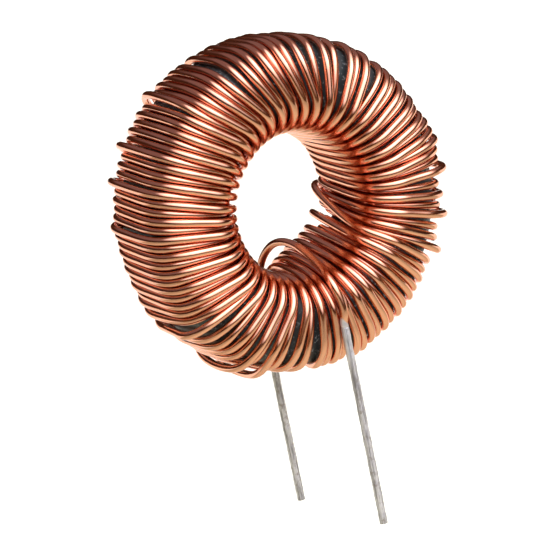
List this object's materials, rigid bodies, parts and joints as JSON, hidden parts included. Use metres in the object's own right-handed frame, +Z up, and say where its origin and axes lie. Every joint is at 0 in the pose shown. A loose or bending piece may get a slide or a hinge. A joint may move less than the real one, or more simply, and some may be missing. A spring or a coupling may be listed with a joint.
{
  "type": "toroidal inductor",
  "caption": "Ring-shaped inductor: a coated powder core wound closely with enamelled copper wire, with two straight tinned leads for soldering into a board.",
  "frame": {"origin": "midway between the two leads, on the plane of the board's top face just under the winding", "axes": "+Z up from the board, leads pointing down; Y along the core's axis with the front face towards -Y; X across"},
  "size_m": [0.037, 0.0172, 0.0527],
  "materials": {
    "core_coating": "glossy dark teal-grey epoxy coating with fine pale scuffs",
    "enamelled_copper": "bare-looking copper under clear enamel",
    "tinned_wire": "dull solder-dipped tin"
  },
  "bodies": {
    "root": {"core": "core_coating", "winding": "enamelled_copper", "front_lead": "tinned_wire", "rear_lead": "tinned_wire"}
  },
  "joints": []
}
